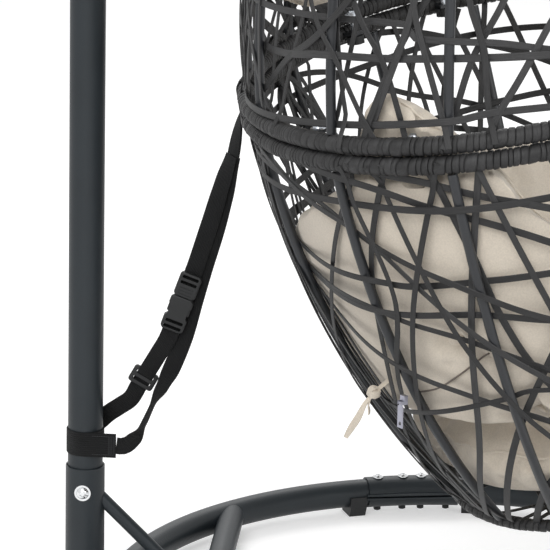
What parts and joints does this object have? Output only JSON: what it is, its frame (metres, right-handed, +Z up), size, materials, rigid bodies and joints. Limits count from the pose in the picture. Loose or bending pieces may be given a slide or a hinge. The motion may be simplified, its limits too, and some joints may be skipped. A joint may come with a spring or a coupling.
{
  "type": "hanging egg chair",
  "caption": "Wicker egg chair hung by a spring and snap hooks from an arched pole stand on a round base, with padded cushions and a strap tying the basket to the pole.",
  "frame": {"origin": "middle of the whole stand's and basket's footprint, on the floor", "axes": "+Z up, +X across the seat to the sitter's left, -Y is the way the sitter faces, +Y towards the pole"},
  "size_m": [1.1396, 1.1139, 1.9221],
  "materials": {
    "frame_steel": "satin powder coat",
    "black_plastic": "matte",
    "zinc": "bright zinc",
    "basket_steel": "satin powder coat",
    "wicker": "fine grain",
    "cushion_fabric": "matte woven",
    "webbing": "matte woven"
  },
  "bodies": {
    "stand": {"base_front_arc": "frame_steel", "base_rear_arc": "frame_steel", "coupler_uppers": "frame_steel", "coupler_lowers": "frame_steel", "coupler_bolts": "zinc", "coupler_nuts": "zinc", "base_feet": "black_plastic", "cross_tube": "frame_steel", "pole_brace": "frame_steel", "pole_socket": "frame_steel", "socket_foot": "black_plastic", "lower_pole": "frame_steel", "upper_pole": "frame_steel", "socket_bolt": "zinc", "socket_nut": "zinc", "pole_joint_bolts": "zinc", "pole_joint_nuts": "zinc", "arch_end_cap": "black_plastic", "stand_eye": "frame_steel", "strap_band": "webbing"},
    "upper_link": {"upper_snap_hook": "zinc"},
    "upper_gate": {"upper_snap_gate": "zinc"},
    "spring": {"spring_top_eye": "zinc", "spring_coil": "zinc"},
    "spring_foot": {"spring_bottom_cap": "zinc"},
    "basket": {"swivel_eye": "zinc", "lower_snap_hook": "zinc", "crown_loop": "basket_steel", "crown_ring": "basket_steel", "upper_ribs": "basket_steel", "upper_weave": "wicker", "upper_rim_tube": "basket_steel", "upper_rim_wrap": "wicker", "upper_ring_tube": "basket_steel", "upper_ring_wrap": "wicker", "lower_ring_tube": "basket_steel", "lower_ring_wrap": "wicker", "lower_rim_tube": "basket_steel", "lower_rim_wrap": "wicker", "lower_ribs": "basket_steel", "lower_weave": "wicker", "bottom_ring": "wicker", "ring_bolts": "zinc", "ring_knobs": "black_plastic", "ring_lugs": "basket_steel", "seat_cushion": "cushion_fabric", "back_cushion": "cushion_fabric", "left_wing_cushion": "cushion_fabric", "right_wing_cushion": "cushion_fabric", "cushion_ties": "cushion_fabric", "zip_slider": "zinc", "strap_loop": "webbing"},
    "lower_gate": {"lower_snap_gate": "zinc"},
    "zip": {"zip_pull": "zinc"},
    "strap_end": {"strap_sewn_end": "webbing"},
    "strap": {"strap_near_layer": "webbing", "strap_far_layer": "webbing", "strap_slide": "black_plastic", "buckle_socket": "black_plastic", "buckle_plug": "black_plastic"}
  },
  "joints": [
    {"name": "swing_fore_aft", "type": "hinge", "parent": "stand", "child": "upper_link", "pos_m": [0, -0.031, 1.8386], "axis": [1, 0, 0], "range_deg": [-5, 8], "deforming": ["strap_near_layer", "strap_far_layer", "strap_sewn_end"]},
    {"name": "upper_gate_opening", "type": "hinge", "parent": "upper_link", "child": "upper_gate", "pos_m": [0, -0.044, 1.7977], "axis": [-1, 0, 0], "range_deg": [0, 25], "stiffness_Nm_per_rad": 0.05, "springref_deg": -20.05},
    {"name": "swing_side", "type": "hinge", "parent": "upper_link", "child": "spring", "pos_m": [0, -0.031, 1.7679], "axis": [0, 1, 0], "range_deg": [-4, 4], "deforming": ["strap_near_layer", "strap_far_layer", "strap_sewn_end"]},
    {"name": "bounce", "type": "slide", "parent": "spring", "child": "spring_foot", "axis": [0, 0, -1], "range_m": [0, 0.03], "stiffness_N_per_m": 12000, "springref_m": -0.03, "deforming": ["spring_coil", "strap_near_layer", "strap_far_layer", "strap_sewn_end"]},
    {"name": "swivel", "type": "hinge", "parent": "spring_foot", "child": "basket", "pos_m": [0, -0.031, 1.66], "axis": [0, 0, 1], "range_deg": [-4, 4], "deforming": ["strap_near_layer", "strap_far_layer", "strap_sewn_end"]},
    {"name": "lower_gate_opening", "type": "hinge", "parent": "basket", "child": "lower_gate", "pos_m": [0, -0.044, 1.5402], "axis": [-1, 0, 0], "range_deg": [0, 25], "stiffness_Nm_per_rad": 0.05, "springref_deg": -20.05},
    {"name": "zip_pull_swing", "type": "hinge", "parent": "basket", "child": "zip", "pos_m": [-0.39017, 0.06658, 0.45463], "axis": [0.7448, 0.6673, 0], "range_deg": [0, 60]},
    {"name": "strap_lean", "type": "hinge", "parent": "stand", "child": "strap_end", "pos_m": [-0.02445, 0.484, 0.258], "axis": [1, 0, 0], "range_deg": [-17.7, 11.1], "deforming": ["strap_near_layer", "strap_far_layer", "strap_sewn_end"]},
    {"name": "strap_sway", "type": "hinge", "parent": "strap_end", "child": "strap", "pos_m": [-0.02445, 0.484, 0.258], "axis": [0, 1, 0], "range_deg": [-8, 8], "deforming": ["strap_near_layer", "strap_far_layer", "strap_sewn_end"]}
  ],
  "couplings": [
    {"joint": "strap_lean", "follows": "swing_fore_aft", "ratio": -2.2},
    {"joint": "strap_sway", "follows": "swing_side", "ratio": -1.94}
  ]
}
